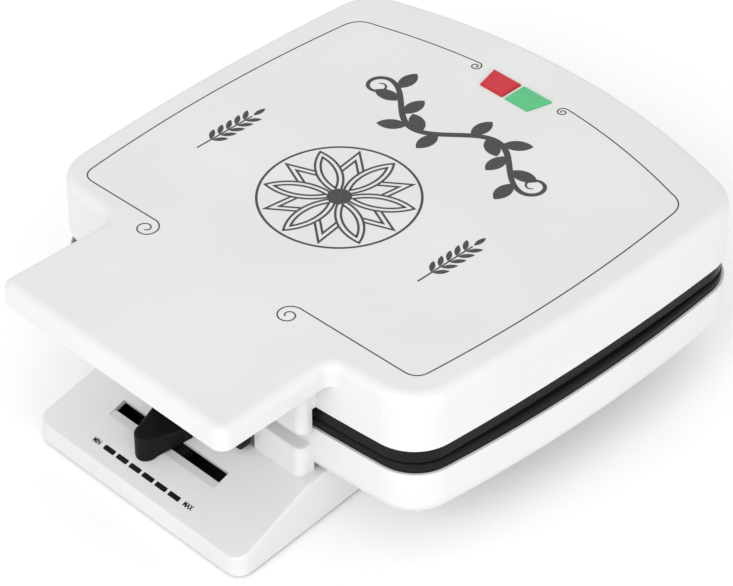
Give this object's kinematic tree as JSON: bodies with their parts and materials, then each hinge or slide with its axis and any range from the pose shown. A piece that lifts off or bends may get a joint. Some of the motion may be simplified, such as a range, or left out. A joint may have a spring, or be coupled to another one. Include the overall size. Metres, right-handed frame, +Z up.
{
  "type": "bricelet iron",
  "caption": "Countertop thin-waffle iron with a hinged lid, flat tongue handle, swinging latch, signal lamps and a sliding heat control on a sloping pedestal.",
  "frame": {"origin": "on the table, under the middle of the whole outline", "axes": "+Z up, -Y towards the handle, +X to the user's right; X = 0 is the housings' plane of symmetry"},
  "size_m": [0.2444, 0.2985, 0.0947],
  "materials": {
    "white_plastic": "smooth satin white moulding",
    "black_plastic": "black heat-proof plastic, low sheen",
    "plate_coating": "cast aluminium with a dark non-stick coat",
    "sheet_aluminium": "bright pressed sheet",
    "steel": "plain bright steel",
    "rubber_black": "matt rubber",
    "red_lens": "clear red moulding",
    "green_lens": "clear green moulding",
    "lamp_glass": "clear glass bulb",
    "board": "resin-bonded board",
    "ivory_plastic": "ivory insulating plastic"
  },
  "bodies": {
    "base": {"lower_housing": "white_plastic", "pedestal": "white_plastic", "bottom_cover": "black_plastic", "lower_frame": "black_plastic", "lower_plate": "plate_coating", "lower_heater": "steel", "lower_heat_shield": "sheet_aluminium", "thermostat": "ivory_plastic", "slider_guide": "black_plastic", "left_hinge_pin": "steel", "right_hinge_pin": "steel", "cord_gland": "rubber_black", "cord_clamp": "black_plastic", "terminal_block": "ivory_plastic", "thermal_fuse": "steel", "lower_frame_screws": "steel", "lower_plate_screws": "steel", "pedestal_screws": "steel", "cover_screws": "steel", "front_left_foot": "rubber_black", "front_right_foot": "rubber_black", "rear_left_foot": "rubber_black", "rear_right_foot": "rubber_black"},
    "lid": {"upper_housing": "white_plastic", "handle_cover": "white_plastic", "upper_frame": "black_plastic", "upper_plate": "plate_coating", "upper_heater": "steel", "upper_heat_shield": "sheet_aluminium", "latch_pin": "steel", "red_lens": "red_lens", "green_lens": "green_lens", "lamp_board": "board", "red_lamp": "lamp_glass", "green_lamp": "lamp_glass", "upper_frame_screws": "steel", "upper_plate_screws": "steel", "handle_screws": "steel"},
    "latch": {"latch": "black_plastic"},
    "slider": {"slider_knob": "black_plastic", "slider_carriage": "black_plastic"},
    "thermostat_spindle": {"thermostat_shaft": "steel", "thermostat_lever": "steel"}
  },
  "joints": [
    {"name": "lid_hinge", "type": "hinge", "parent": "base", "child": "lid", "pos_m": [0, 0.14375, 0.0572], "axis": [-1, 0, 0], "range_deg": [0, 100]},
    {"name": "latch_swing", "type": "hinge", "parent": "lid", "child": "latch", "pos_m": [0, -0.0994, 0.076], "axis": [-1, 0, 0], "range_deg": [-5, 5]},
    {"name": "temperature_slide", "type": "slide", "parent": "base", "child": "slider", "axis": [1, 0, 0], "range_m": [-0.0199, 0.0291]},
    {"name": "thermostat_turn", "type": "hinge", "parent": "base", "child": "thermostat_spindle", "pos_m": [-0.005, -0.06825, 0.007], "axis": [0, 0, 1], "range_deg": [-25, 36]}
  ],
  "couplings": [
    {"joint": "thermostat_turn", "follows": "temperature_slide", "rad_per_m": 21.2}
  ]
}
